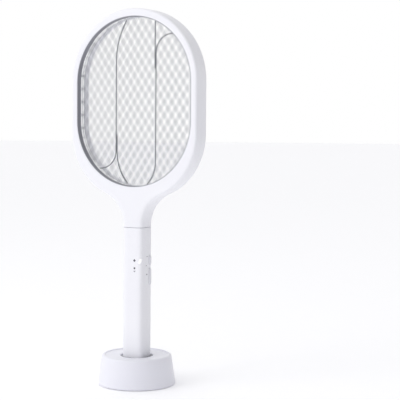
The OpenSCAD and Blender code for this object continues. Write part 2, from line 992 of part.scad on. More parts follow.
// A side key: a cap with round ends, and a flange that holds it inside the wall
module side_key(z, len) {
    flange_x = handle_w / 2 - handle_wall - key_gap;
    color(white)
        translate([flange_x - key_flange, key_y, z])
            rotate([90, 0, 90]) {
                linear_extrude(key_flange)
                    long_round(key_w + 0.4, len + 2.4);
                linear_extrude(key_flange + key_gap + handle_wall + key_proud)
                    long_round(key_w, len);
            }
}

module mode_key() {
    side_key(mode_key_z, mode_key_len);
}

module zap_key() {
    side_key(zap_key_z, zap_key_len);
}

module oval_key() {
    root = oval_flange_top - key_flange;
    color(white) {
        on_corner(root)
            linear_extrude(handle_r + oval_proud - root)
                rotate([0, 0, -oval_lean])
                    long_round(oval_key_w, oval_key_len);
        on_corner(root)
            linear_extrude(key_flange)
                rotate([0, 0, -oval_lean])
                    long_round(oval_key_w + 0.8, oval_key_len + 1.6);
    }
}

// ---------- what is drawn ----------

base_shell();
bottom_plate();
foot_ring();
ballast_ring();
socket_cup();
charge_contacts();
charge_board();
usb_inlet();
base_leads();
base_screws();
handle_front_shell();
handle_rear_shell();
handle_end_cap();
charge_pads();
neck_spigot();
handle_screws();
battery_cell();
battery_cradle();
battery_contacts();
main_board();
hv_transformer();
hv_capacitors();
board_diodes();
tact_switches();
switch_riser();
handle_leads();
indicator_lights();
front_frame();
rear_frame();
front_liner();
front_guard_net();
hv_grid();
rear_guard_net();
front_spacer();
rear_spacer();
front_brace_rods();
grid_terminals();
grid_leads();
neck_screws();
mode_key();
zap_key();
oval_key();
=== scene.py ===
"""Electric fly swatter standing in its charging base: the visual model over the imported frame.

Lengths are in millimetres in the frame's own axes unless a name says otherwise: X runs across
the head, the front faces -Y and Z is up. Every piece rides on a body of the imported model.
"""

import logging
import math
from collections.abc import Callable, Iterable, Sequence
from dataclasses import dataclass, field
from enum import Enum

import bmesh
import bpy
from mathutils import Matrix, Vector


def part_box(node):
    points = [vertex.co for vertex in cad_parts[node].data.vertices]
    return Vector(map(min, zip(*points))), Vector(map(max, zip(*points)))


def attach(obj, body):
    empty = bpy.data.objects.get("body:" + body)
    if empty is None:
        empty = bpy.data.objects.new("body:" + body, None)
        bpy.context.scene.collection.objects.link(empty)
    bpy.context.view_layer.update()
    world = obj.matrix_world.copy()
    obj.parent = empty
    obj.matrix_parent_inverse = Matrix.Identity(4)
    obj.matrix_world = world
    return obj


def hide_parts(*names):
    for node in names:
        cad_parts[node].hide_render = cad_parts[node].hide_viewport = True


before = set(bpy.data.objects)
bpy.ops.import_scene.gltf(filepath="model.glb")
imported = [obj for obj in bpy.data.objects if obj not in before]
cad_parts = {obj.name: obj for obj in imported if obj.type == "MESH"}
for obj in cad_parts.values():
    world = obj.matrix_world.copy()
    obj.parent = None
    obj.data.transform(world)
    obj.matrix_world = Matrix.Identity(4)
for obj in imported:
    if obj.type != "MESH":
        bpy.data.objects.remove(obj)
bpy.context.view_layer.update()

log = logging.getLogger("fly_swatter")

MM = 0.001
SHARP_ANGLE = math.radians(32)
STAND = "stand"
SWATTER = "swatter"
CLOUD_SCALE = 18.0
BAND_SCALE = 0.314
ROUGH_SPREAD = 0.05
CLEAR = 0.02  # how far each half stays off the parting plane

Point = tuple[float, float, float]
Socket = bpy.types.NodeSocket


# ---------------------------------------------------------------- finishes


class Pattern(Enum):
    """The fine structure in a surface."""

    GRAIN = "grain"
    DRAWN = "drawn"
    BANDS = "bands"
    CELLS = "cells"


def linear(code: str) -> tuple[float, float, float, float]:
    """Turns an sRGB hex code into the linear colour that a shader takes."""
    parts = [int(code[i : i + 2], 16) / 255 for i in (1, 3, 5)]
    return (*(p / 12.92 if p <= 0.04045 else ((p + 0.055) / 1.055) ** 2.4 for p in parts), 1.0)


def add_node(
    tree: bpy.types.NodeTree,
    kind: str,
    settings: dict[str | int, object] | None = None,
    links: dict[str | int, Socket] | None = None,
) -> bpy.types.Node:
    """Adds one shader node.

    Args:
        tree: The tree that the node joins.
        kind: The node's type name.
        settings: Property values, and default values of its inputs.
        links: The output that feeds each named input.

    Returns:
        The new node.
    """
    node = tree.nodes.new(kind)
    for key, value in (settings or {}).items():
        if isinstance(key, str) and hasattr(node, key):
            setattr(node, key, value)
        else:
            node.inputs[key].default_value = value
    for key, source in (links or {}).items():
        tree.links.new(source, node.inputs[key])
    return node


@dataclass(frozen=True)
class Finish:
    """One real material: its colour, how it takes the light and the structure in its surface.

    Attributes:
        name: The material and how it was made.
        colour: Its main sRGB colour.
        tint: The sRGB colour that it drifts to.
        roughness: Mean roughness.
        metallic: 1 for bare metal.
        ior: Index of refraction.
        pattern: The kind of fine structure.
        pitch: Size of that structure in millimetres.
        relief: Height of that structure in millimetres.
        along: How far the structure is drawn out along X, Y and Z.
        clear: How much light passes through.
        contrast: How strongly the fine structure shows in the colour.
        glow: Light that it gives off itself. Only the backlit sheet does so in truth. On the
        slanted key and the nylon hoops a little glow is painted light.
    """

    name: str
    colour: str
    tint: str
    roughness: float
    metallic: float = 0.0
    ior: float = 1.5
    pattern: Pattern = Pattern.GRAIN
    pitch: float = 0.5
    relief: float = 0.01
    along: Point = (1.0, 1.0, 1.0)
    clear: float = 0.0
    contrast: float = 0.25
    glow: float = 0.0

    def _structure(self, tree: bpy.types.NodeTree, place: Socket) -> Socket:
        """Adds the texture of the fine structure and returns its height."""
        scale = [1 / (self.pitch * MM * a) for a in self.along]
        spot = add_node(tree, "ShaderNodeMapping", {"Scale": scale}, {"Vector": place}).outputs[0]
        if self.pattern is Pattern.BANDS:
            bands = {"bands_direction": "Z", "Scale": BAND_SCALE, "Distortion": 0.6, "Detail": 2.0}
            return add_node(tree, "ShaderNodeTexWave", bands, {"Vector": spot}).outputs["Fac"]
        if self.pattern is Pattern.CELLS:
            cells = {"feature": "DISTANCE_TO_EDGE", "Scale": 1.0}
            return add_node(tree, "ShaderNodeTexVoronoi", cells, {"Vector": spot}).outputs[0]
        grain = {"Scale": 1.0, "Detail": 3.0 if self.pattern is Pattern.GRAIN else 1.0}
        return add_node(tree, "ShaderNodeTexNoise", grain, {"Vector": spot}).outputs[0]

    def material(self) -> bpy.types.Material:
        """Returns this finish as a material, made once."""
        made = bpy.data.materials.get(self.name)
        if made is not None:
            return made
        made = bpy.data.materials.new(self.name)
        made.use_nodes = True
        tree = made.node_tree
        shader = tree.nodes["Principled BSDF"]
        place = add_node(tree, "ShaderNodeTexCoord").outputs["Object"]
        fine = self._structure(tree, place)
        cloud = add_node(
            tree, "ShaderNodeTexNoise", {"Scale": CLOUD_SCALE, "Detail": 2.0}, {"Vector": place}
        ).outputs[0]
        share = add_node(
            tree,
            "ShaderNodeMix",
            {"data_type": "FLOAT", "Factor": self.contrast},
            {2: cloud, 3: fine},
        ).outputs[0]
        shade = add_node(
            tree,
            "ShaderNodeMix",
            {"data_type": "RGBA", 6: linear(self.colour), 7: linear(self.tint)},
            {0: share},
        ).outputs[2]
        rough = add_node(
            tree,
            "ShaderNodeMapRange",
            {"To Min": self.roughness - ROUGH_SPREAD, "To Max": self.roughness + ROUGH_SPREAD},
            {"Value": fine},
        ).outputs[0]
        bump = add_node(
            tree,
            "ShaderNodeBump",
            {"Strength": 1.0, "Distance": self.relief * MM},
            {"Height": fine},
        ).outputs[0]
        shader.inputs["Metallic"].default_value = self.metallic
        shader.inputs["IOR"].default_value = self.ior
        shader.inputs["Transmission Weight"].default_value = self.clear
        if self.glow:
            shader.inputs["Emission Color"].default_value = linear(self.colour)
            shader.inputs["Emission Strength"].default_value = self.glow
        tree.links.new(shade, shader.inputs["Base Color"])
        tree.links.new(rough, shader.inputs["Roughness"])
        tree.links.new(bump, shader.inputs["Normal"])
        return made


# Satin white of the housings: a spark-eroded mould leaves a soft, even sheen
MOULDED_ABS = Finish("moulded_abs_satin_white", "#f4f4f8", "#ededf4", 0.42, relief=0.006)
# The base takes the same plastic from a more polished mould, a little cooler
BASE_ABS = Finish("moulded_abs_base_white", "#efeff6", "#e6e6f0", 0.38, relief=0.005)
# The socket is white plastic painted grey as shade, so that the well shows as a shadow ring round the
# handle
CUP_PAINTED_SHADE = Finish("socket_grey_painted_shade", "#9c9da4", "#8f9098", 0.45, relief=0.005)
# Keys are the same white plastic, smoother from wear so that their edges catch light
KEY_ABS = Finish("polished_abs_key_white", "#ebecf1", "#e2e3ea", 0.3, relief=0.003)
# The slanted key is white plastic; its glow is painted light that lifts it off the handle's shade
OVAL_PAINTED_GLOW = Finish("moulded_abs_slanted_key_painted_glow", "#ffffff", "#f8f8fb", 0.34, relief=0.003, glow=0.16)
# Thin natural nylon: its glow is painted light, standing in for the light that reaches the hoops from
# behind
NYLON_PAINTED_GLOW = Finish("natural_nylon_painted_glow", "#f6f6f6", "#f0f0f1", 0.5, ior=1.53, glow=0.28)
# Fine galvanised wire: bright along its drawn lines and dulled by zinc
NET_WIRE = Finish(
    "drawn_galvanised_wire", "#c3c5cc", "#a9abb3", 0.36, 0.55, 2.0, Pattern.DRAWN, 0.3, 0.004,
    (1.0, 1.0, 6.0),
)
# The live grid in the middle is plainer steel and reads a shade darker
GRID_WIRE = Finish(
    "drawn_steel_grid_wire", "#a4a6ad", "#8d8f97", 0.4, 0.6, 2.2, Pattern.DRAWN, 0.3, 0.004,
    (1.0, 1.0, 6.0),
)
# Dark phosphated rod: dull grey steel with a faint drawn streak
ROD_STEEL = Finish(
    "phosphated_steel_rod", "#7b7d85", "#65676e", 0.5, 0.5, 2.3, Pattern.DRAWN, 0.4, 0.006,
    (1.0, 1.0, 8.0),
)
# Rolled grey strip that lines the opening: even and mid grey, it frames the white lip
LINER_STRIP = Finish(
    "rolled_grey_strip", "#96979f", "#82838b", 0.52, 0.3, 1.8, Pattern.DRAWN, 0.6, 0.006,
    (1.0, 1.0, 5.0),
)
# Moulded rubber of the foot: matt and near black, so the base has a dark line under it
RUBBER = Finish("moulded_black_rubber", "#2b2b2e", "#353539", 0.82, ior=1.52, relief=0.03)
# Plain black moulding of hidden holders and component bodies
BLACK_MOULDING = Finish("moulded_black_pbt", "#26272a", "#313236", 0.55, ior=1.57)
# Cast and painted steel ballast: slightly rough dark paint
BALLAST = Finish("painted_steel_ballast", "#4a4d52", "#3d4045", 0.6, 0.4, 2.0, relief=0.04)
# Stamped brass of the charging parts: warm and bright
BRASS = Finish("stamped_brass", "#c9a55a", "#b48f45", 0.28, 1.0, 1.2, Pattern.DRAWN, 0.5, 0.004)
# Zinc-plated screws with turned heads
PLATED_STEEL = Finish("zinc_plated_steel", "#b9bbc0", "#9fa2a8", 0.3, 1.0, 2.5, relief=0.008)
# Stamped tinned shell of the inlet
TINNED_STEEL = Finish("stamped_tinned_steel", "#c4c6ca", "#abadb2", 0.24, 1.0, 2.5)
# Nickel tabs on the cell, finely brushed
NICKEL = Finish("rolled_nickel_tab", "#c8c4b8", "#b3afa4", 0.26, 1.0, 1.9, Pattern.DRAWN, 0.3)
# Solder mask over copper: the track pattern shows faintly through the green
BOARD = Finish(
    "etched_board_green_mask", "#2c6a49", "#3f8058", 0.34, 0.0, 1.55, Pattern.CELLS, 2.2, 0.03,
    contrast=0.7,
)
# Heat-shrunk wrap of the cell: glossy film with soft folds
CELL_WRAP = Finish("shrink_wrap_blue_pvc", "#2f6fae", "#27609b", 0.25, ior=1.54, pitch=4.0)
# Yellow polyester tape round the transformer, in layers
TAPE = Finish(
    "wound_polyester_tape", "#d9b23c", "#c99f2d", 0.32, 0.0, 1.6, Pattern.BANDS, 3.0, 0.05,
    contrast=0.6,
)
# Dipped red resin of the high-voltage capacitors
RED_RESIN = Finish("dipped_red_epoxy", "#a63a2c", "#8f2f24", 0.3, ior=1.56, pitch=1.6, relief=0.04)
# PVC sleeve of the leads
SLEEVE = Finish("extruded_red_pvc_sleeve", "#b23b35", "#a1332e", 0.42, ior=1.54)
# Smoked acrylic of the light guides: dark until lit, with a polished face
SMOKED_ACRYLIC = Finish("moulded_smoked_acrylic", "#3a3a42", "#46464f", 0.12, ior=1.49)
# Pad-printed symbols in grey ink: thin and matt
INK = Finish("pad_printed_grey_ink", "#5c5c66", "#686872", 0.6, ior=1.5, relief=0.002)
# Backlit opal sheet that the object stands on: it stays near white right up to the object
OPAL_SHEET = Finish(
    "backlit_opal_acrylic_sheet", "#fbfbfd", "#f7f7fa", 0.8, ior=1.49, pitch=1.2, relief=0.01,
    glow=0.14,
)


# ---------------------------------------------------------------- mesh building


class Solid:
    """A closed mesh in millimetres that is put together ring by ring."""

    def __init__(self) -> None:
        """Starts an empty mesh."""
        self.mesh = bmesh.new()

    def ring(self, points: Iterable[Point]) -> list[bmesh.types.BMVert]:
        """Adds vertices at the points and returns them in order."""
        return [self.mesh.verts.new([c * MM for c in p]) for p in points]

    def face(self, verts: Sequence[bmesh.types.BMVert]) -> None:
        """Adds one face."""
        self.mesh.faces.new(verts)

    def skin(
        self, rings: Sequence[Sequence[bmesh.types.BMVert]], around: bool, along: bool = False
    ) -> None:
        """Joins rings of equal length with four-sided faces.

        Args:
            rings: The rings in order.
            around: Whether each ring closes on itself.
            along: Whether the last ring joins back to the first.
        """
        pairs = list(zip(rings, rings[1:]))
        if along:
            pairs.append((rings[-1], rings[0]))
        for a, b in pairs:
            count = len(a) if around else len(a) - 1
            for i in range(count):
                j = (i + 1) % len(a)
                self.face((a[i], a[j], b[j], b[i]))

    def span(self, *loops: Sequence[bmesh.types.BMVert]) -> None:
        """Fills the flat area between closed loops of vertices, holes included."""
        edges = []
        for loop in loops:
            for a, b in zip(loop, [*loop[1:], loop[0]]):
                edge = self.mesh.edges.get((a, b))
                edges.append(edge or self.mesh.edges.new((a, b)))
        bmesh.ops.triangle_fill(self.mesh, use_beauty=True, edges=edges)

    def tube(self, path: Sequence[Vector], radius: float, sides: int) -> None:
        """Adds a round rod along a path, closed at both ends.

        Args:
            path: The centre line, in millimetres.
            radius: The rod's radius.
            sides: How many sides its section has.
        """
        rings = []
        for i, spot in enumerate(path):
            ahead = path[min(i + 1, len(path) - 1)] - path[max(i - 1, 0)]
            side = ahead.normalized().cross(Vector((0, 1, 0))).normalized()
            over = side.cross(ahead.normalized())
            turns = [2 * math.pi * k / sides for k in range(sides)]
            rings.append(
                self.ring(
                    spot + radius * (math.cos(t) * side + math.sin(t) * over) for t in turns
                )
            )
        self.skin(rings, around=True)
        self.face(rings[0][::-1])
        self.face(rings[-1])

    def piece(self, name: str) -> bpy.types.Object:
        """Turns the mesh into an object of this name, with all its faces outwards."""
        bmesh.ops.recalc_face_normals(self.mesh, faces=self.mesh.faces)
        data = bpy.data.meshes.new(name)
        self.mesh.to_mesh(data)
        self.mesh.free()
        made = bpy.data.objects.new(name, data)
        bpy.context.scene.collection.objects.link(made)
        return made


def cut(body: bpy.types.Object, cutters: Sequence[bpy.types.Object]) -> None:
    """Cuts the shapes out of a body and removes them from the scene."""
    for cutter in cutters:
        step = body.modifiers.new(cutter.name, "BOOLEAN")
        step.operation = "DIFFERENCE"
        step.solver = "EXACT"
        step.object = cutter
    result = body.evaluated_get(bpy.context.evaluated_depsgraph_get())
    shaped = bpy.data.meshes.new_from_object(result)
    body.modifiers.clear()
    body.data = shaped
    for cutter in cutters:
        bpy.data.objects.remove(cutter)


def place(
    piece: bpy.types.Object, body: str, finish: Finish, slot: str, *stands_for: str
) -> bpy.types.Object:
    """Shades a finished piece, and ties it to its body.

    Args:
        piece: The object.
        body: The body that it rides on.
        finish: Its material.
        slot: The record's material slot. Not used.
        stands_for: The CAD nodes that it takes the place of.

    Returns:
        The same object.
    """
    piece.data.materials.clear()
    piece.data.materials.append(finish.material())
    piece.data.shade_smooth()
    piece.data.set_sharp_from_angle(angle=SHARP_ANGLE)
    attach(piece, body)
    if stands_for:
        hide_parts(*stands_for)
    log.info("%s: %d faces, %s", piece.name, len(piece.data.polygons), finish.name)
    return piece


def turn(degrees: float) -> Vector:
    """The unit direction at an angle from the first axis, as a two-part vector."""
    return Vector((math.cos(math.radians(degrees)), math.sin(math.radians(degrees))))


def sweep(start: float, end: float, step: float) -> list[float]:
    """Evenly spaced angles from start to end, at most step apart."""
    count = max(1, math.ceil(abs(end - start) / step))
    return [start + (end - start) * i / count for i in range(count + 1)]


def rounding(radius: float, steps: int, fullness: float = 2.0) -> list[tuple[float, float]]:
    """The steps of a rounded edge, from its side to its top.

    Args:
        radius: How far it reaches in and down.
        steps: How many steps it has.
        fullness: 2 for a round edge, and more for a squarer one.

    Returns:
        How far each step is drawn in and down.
    """
    power = 2 / fullness
    turns = [turn(a) for a in sweep(0, 90, 90 / steps)]
    return [(radius * (1 - max(t.x, 0) ** power), radius * (1 - max(t.y, 0) ** power)) for t in turns]


def long_round(width: float, length: float, inset: float, step: float = 15) -> list[Vector]:
    """The outline of a slot with round ends, long along its second axis."""
    radius = width / 2 - inset
    reach = (length - width) / 2
    top = [Vector((0, reach)) + radius * turn(a) for a in sweep(0, 180, step)]
    low = [Vector((0, -reach)) + radius * turn(a) for a in sweep(180, 360, step)]
    return top + low


def lathe(profile: Sequence[tuple[float, float]], segments: int) -> Solid:
    """Turns a closed profile of radius and height about Z."""
    solid = Solid()
    rings = []
    for k in range(segments):
        u = turn(360 * k / segments)
        rings.append(solid.ring((r * u.x, r * u.y, z) for r, z in profile))
    solid.skin(rings, around=True, along=True)
    return solid


def prism(name: str, outline: Sequence[Vector], at: Callable[[Vector, float], Vector],
          low: float, high: float) -> bpy.types.Object:
    """A straight prism, used as a cutter.

    Args:
        name: The object's name.
        outline: Its outline in its own plane.
        at: Gives the place of an outline point at a height.
        low: Where it starts.
        high: Where it ends.

    Returns:
        The prism.
    """
    solid = Solid()
    rings = [solid.ring(at(p, h) for p in outline) for h in (low, high)]
    solid.skin(rings, around=True)
    solid.face(rings[0][::-1])
    solid.face(rings[1])
    return solid.piece(name)


# ---------------------------------------------------------------- head


@dataclass(frozen=True)
class Sample:
    """One point of an outline in X and Z, with its inward direction and edge radius."""

    spot: Vector
    inward: Vector
    edge: float

    def at(self, inset: float, depth: float, front: int) -> Point:
        """The point drawn in from the outline, at a depth in front of the parting plane."""
        flat = self.spot + inset * self.inward
        return (flat.x, -front * depth, flat.y)

    def mirrored(self) -> "Sample":
        """The matching point on the other side of the middle."""
        flip = Vector((-1, 1))
        return Sample(self.spot * flip, self.inward * flip, self.edge)


@dataclass
class Head:
    """The head: two frame halves round a long opening, with a liner, nets and bracing rods."""

    seam_z: float = 202.25
    half_depth: float = 14.0
    neck_half: float = 14.9
    neck_edge: float = 13.8
    rim_edge: float = 3.0
    soft_z: float = 252.0
    fillet_at: Vector = field(default_factory=lambda: Vector((58.9, 204.5)))
    fillet_r: float = 44.0
    chin_x: float = 8.3
    chin_r: float = 83.0
    open_r: float = 83.0
    low_z: float = 336.7
    high_z: float = 385.7
    crown_z: float = 387.2
    crown_r: float = 91.3
    lip_edge: float = 0.7
    pocket_grow: float = 5.2
    pocket_depth: float = 4.75
    parting: float = 0.15
    seam_bevel: float = 0.2
    seam_rise: float = 0.25
    flat_border: float = 0.3
    step: float = 4.0
    liner_depths: tuple[float, float] = (6.15, 13.4)
    liner_t: float = 0.8
    net_pitch: float = 4.2
    mesh_w: float = 10.9
    mesh_h: float = 16.8
    wire_r: float = 0.25
    weave: float = 0.15
    hoop_grow: tuple[float, float] = (0.5, 5.0)
    hoop_t: float = 0.9
    let_in: float = 0.3
    rod_r: float = 0.6
    rod_depth: float = 5.27
    long_rod_x: float = 29.0
    short_rod_x: float = 27.6
    bow_r: float = 23.0
    top_bow_z: float = 422.9
    low_bow_z: float = 299.0
    crown_bend: tuple[float, float] = (98.0, 411.7)
    chin_bend: tuple[float, float] = (40.0, 286.0)
    short_bend: tuple[float, float] = (62.0, 299.0)
    splice: float = 20.0
    seats: tuple[tuple[float, float, float], ...] = (
        (0.0, 243.2, 1.3), (-34.0, 248.2, 1.3), (34.0, 248.2, 1.3), (0.0, 209.0, 1.3),
    )
    seat_r: float = 2.6

    @property
    def chin_z(self) -> float:
        """Height of the centre of the lower corners."""
        across = self.fillet_at.x - self.chin_x
        return self.fillet_at.y + math.sqrt((self.chin_r + self.fillet_r) ** 2 - across**2)

    def softness(self, z: float) -> float:
        """How far the outer edge has gone at a height from crisp, on the rim, to full, on the neck."""
        t = min(max((self.soft_z - z) / (self.soft_z - self.seam_z), 0), 1)
        return t * t * (3 - 2 * t)

    def edge_at(self, z: float) -> float:
        """Size of the outer edge's rounding at a height."""
        return self.rim_edge + (self.neck_edge - self.rim_edge) * self.softness(z)

    def outline(self) -> list[Sample]:
        """The outer outline from the seam's right end, over the crown, to its left end."""
        chin = Vector((self.chin_x, self.chin_z))
        towards = chin - self.fillet_at
        tangent = math.degrees(math.atan2(towards.y, towards.x))
        left = Vector((-1, 0))
        straight = (self.seam_z + self.seam_rise, self.fillet_at.y)
        right = [(Vector((self.neck_half, z)), left) for z in straight]
        right += [
            (self.fillet_at + self.fillet_r * turn(a), turn(a))
            for a in sweep(180, tangent, self.step)[1:]
        ]
        right += [
            (chin + self.chin_r * turn(a), -turn(a)) for a in sweep(tangent - 180, 0, self.step)[1:]
        ]
        crown = Vector((0, self.crown_z))
        right += [(crown + self.crown_r * turn(a), -turn(a)) for a in sweep(0, 90, self.step)]
        half = [Sample(spot, inward, self.edge_at(spot.y)) for spot, inward in right]
        start = Sample(Vector((self.neck_half - self.seam_bevel, self.seam_z)), left, self.neck_edge)
        half = [start, *half]
        return half + [s.mirrored() for s in reversed(half[:-1])]

    def stadium(self, grow: float, depth: float, front: int) -> list[Point]:
        """The opening's outline, grown all round, at a depth."""
        r = self.open_r + grow
        upper = [Vector((0, self.high_z)) + r * turn(a) for a in sweep(0, 180, self.step)]
        lower = [Vector((0, self.low_z)) + r * turn(a) for a in sweep(180, 360, self.step)]
        return [(p.x, -front * depth, p.y) for p in upper + lower]

    def frame_half(self, front: int, name: str) -> None:
        """Builds one half of the frame.

        Args:
            front: 1 for the front half and -1 for the rear one.
            name: The CAD node that it stands for.
        """
        solid = Solid()
        samples = self.outline()
        rows = [[s.at(self.parting, CLEAR, front) for s in samples]]
        rows.append([s.at(0, self.parting + CLEAR, front) for s in samples])
        steps = 12
        edges = [rounding(s.edge, steps, 2 + 3 * self.softness(s.spot.y)) for s in samples]
        for k in range(steps + 1):
            rows.append(
                [s.at(e[k][0], self.half_depth - e[k][1], front) for s, e in zip(samples, edges)]
            )
        rows.append([s.at(s.edge + self.flat_border, self.half_depth, front) for s in samples])
        for row in rows[2:]:
            for end in (0, -1):
                x, y, z = row[end]
                row[end] = (x, y + front * self.seam_bevel, z)
        rings = [solid.ring(row) for row in rows]
        solid.skin(rings, around=False)
        solid.face([ring[0] for ring in rings] + [ring[-1] for ring in reversed(rings)])
        top = rings[-1]
        solid.face((top[0], top[1], top[-2], top[-1]))
        lip = [(e, self.half_depth - d) for e, d in rounding(self.lip_edge, 4)]
        profile = [
            (self.pocket_grow, CLEAR), (self.pocket_grow, self.pocket_depth),
            (0.0, self.pocket_depth), *lip,
            (self.lip_edge + self.flat_border, self.half_depth),
        ]
        walls = [solid.ring(self.stadium(grow, depth, front)) for grow, depth in profile]
        solid.skin(walls, around=True)
        solid.span(top[1:-1], walls[-1])
        solid.span(rings[0], walls[0])
        half = solid.piece(name.replace("_frame", "_frame_moulding"))
        if front < 0:
            cut(half, [self.seat(i) for i in range(len(self.seats))])
        place(half, SWATTER, MOULDED_ABS, "shell_white", name)

    def seat(self, index: int) -> bpy.types.Object:
        """The cutter of one sunk screw seat in the back."""
        x, z, deep = self.seats[index]
        ring = [self.seat_r * turn(a) for a in sweep(0, 360, 10)[:-1]]
        return prism(
            f"seat_{index}", ring, lambda p, h: Vector((x + p.x, h, z + p.y)),
            self.half_depth - deep, self.half_depth + 1,
        )

    def liner(self, name: str) -> None:
        """Builds the strip that lines the lip of the front half."""
        low, high = self.liner_depths
        edge, slip = 0.15, 0.06
        inner = -self.liner_t
        profile = [
            (-slip, low), (inner + edge, low), (inner, low + edge),
            (inner, high - edge), (inner + edge, high), (-slip, high),
        ]
        solid = Solid()
        rings = [solid.ring(self.stadium(grow, depth, 1)) for grow, depth in profile]
        solid.skin(rings, around=True, along=True)
        strip = solid.piece(f"{name}_strip")
        place(strip, SWATTER, LINER_STRIP, "liner_grey", name)

    def inside(self, spot: Vector) -> bool:
        """Whether a point of the head's plane lies where wires are let in."""
        return self.reach(spot) < self.open_r + self.hoop_grow[0] + self.let_in

    def wires(self, family: int) -> list[list[tuple[Vector, float]]]:
        """The wires of one direction.

        Args:
            family: 0 for wires that fall to the right and 1 for those that rise.

        Returns:
            For each wire, its points in the head's plane and how far each is woven forwards.
        """
        middle = (self.low_z + self.high_z) / 2
        reach = 40
        found = []
        for n in range(-reach, reach):
            line = []
            for k in range(-reach, reach):
                a, b = (n, k) if family == 0 else (k, n)
                spot = Vector((self.mesh_w * (a + b + 1) / 2, middle + self.mesh_h * (a - b) / 2))
                line.append((spot, self.weave * (-1) ** (a + b + family)))
            kept = [i for i, (spot, _) in enumerate(line) if self.inside(spot)]
            if not kept:
                continue
            first, last = kept[0], kept[-1]
            ends = [self.run_out(line, first, -1), self.run_out(line, last, 1)]
            found.append([ends[0], *line[first : last + 1], ends[1]])
        return found

    def run_out(
        self, line: Sequence[tuple[Vector, float]], index: int, way: int
    ) -> tuple[Vector, float]:
        """Where a wire meets the hoop beyond its last crossing."""
        near, far = line[index][0], line[index + way][0]
        for _ in range(20):
            middle = (near + far) / 2
            near, far = (middle, far) if self.inside(middle) else (near, middle)
        return near, 0.0

    def net(self, name: str, depth: float, finish: Finish, slot: str) -> None:
        """Builds one net of woven wires in its hoop.

        Args:
            name: The CAD node that it stands for.
            depth: How far it lies in front of the parting plane.
            finish: The wire's material.
            slot: The record's material slot.
        """
        solid = Solid()
        for family in (0, 1):
            for wire in self.wires(family):
                path = [Vector((spot.x, -depth - lift, spot.y)) for spot, lift in wire]
                solid.tube(path, self.wire_r, 8)
        inner, outer = self.hoop_grow
        half = self.hoop_t / 2
        corners = [(inner, -half), (outer, -half), (outer, half), (inner, half)]
        rings = [solid.ring(self.stadium(grow, depth + d, 1)) for grow, d in corners]
        solid.skin(rings, around=True, along=True)
        place(solid.piece(f"{name}_wires"), SWATTER, finish, slot, name)

    def bow(self, z: float, up: int) -> list[Vector]:
        """The bend that takes a long rod out to the rim, from the rod to the rim's side.

        Args:
            z: Height where the bend starts.
            up: 1 when it bends as the rod runs up and -1 as it runs down.
        """
        middle = Vector((self.long_rod_x + self.bow_r, z))
        bend = [middle + self.bow_r * turn(up * a) for a in sweep(180, 90, 6)]
        end_z = z + up * self.bow_r
        past = end_z - (self.high_z if up > 0 else self.low_z)
        return [*bend, Vector((math.sqrt(self.rod_limit**2 - past**2), end_z))]

    def inward(self, x: float, bend: tuple[float, float], up: int) -> list[Vector]:
        """The bend that takes a rod in towards the middle until it meets the rim."""
        radius, z = bend
        middle = Vector((x - radius, z))
        line = [middle + radius * turn(up * a) for a in sweep(0, 60, 2)]
        return [p for p in line if self.reach(p) < self.rod_limit + 0.3]

    @property
    def rod_limit(self) -> float:
        """How far the rods reach from the opening's middle line."""
        return self.open_r - self.liner_t - 2 * self.rod_r

    def rods(self, name: str) -> None:
        """Builds the bracing rods of the front net: a long and a short one on each side."""
        top_z = self.high_z + math.sqrt(self.rod_limit**2 - self.short_rod_x**2)
        left_long = self.bow(self.low_bow_z, -1)[::-1] + self.inward(
            self.long_rod_x, self.crown_bend, 1
        )
        left_short = self.inward(self.short_rod_x, self.short_bend, -1)[::-1]
        left_short.append(Vector((self.short_rod_x, self.low_bow_z + self.splice)))
        right_long = self.inward(self.long_rod_x, self.chin_bend, -1)[::-1]
        right_long += self.bow(self.top_bow_z, 1)
        right_short = [
            Vector((self.short_rod_x, z)) for z in (self.top_bow_z - self.splice, top_z)
        ]
        solid = Solid()
        lines = ((-1, left_long), (-1, left_short), (1, right_long), (1, right_short))
        for side, line in lines:
            path = [Vector((side * p.x, -self.rod_depth, p.y)) for p in line]
            solid.tube(path, self.rod_r, 12)
        place(solid.piece("front_rod_set"), SWATTER, ROD_STEEL, "rod_steel", name)

    def reach(self, spot: Vector) -> float:
        """How far a point of the head's plane lies from the opening's middle line."""
        past = max(self.low_z - spot.y, spot.y - self.high_z, 0)
        return math.hypot(spot.x, past)

    def build(self) -> None:
        """Builds all of the head."""
        for front, side in ((1, "front"), (-1, "rear")):
            self.frame_half(front, f"{side}_frame")
        self.liner("front_liner")
        self.rods("front_brace_rods")
        self.net("front_guard_net", self.net_pitch, NET_WIRE, "net_wire")
        self.net("hv_grid", 0.0, GRID_WIRE, "grid_wire")
        self.net("rear_guard_net", -self.net_pitch, NET_WIRE, "net_wire")


# ---------------------------------------------------------------- handle


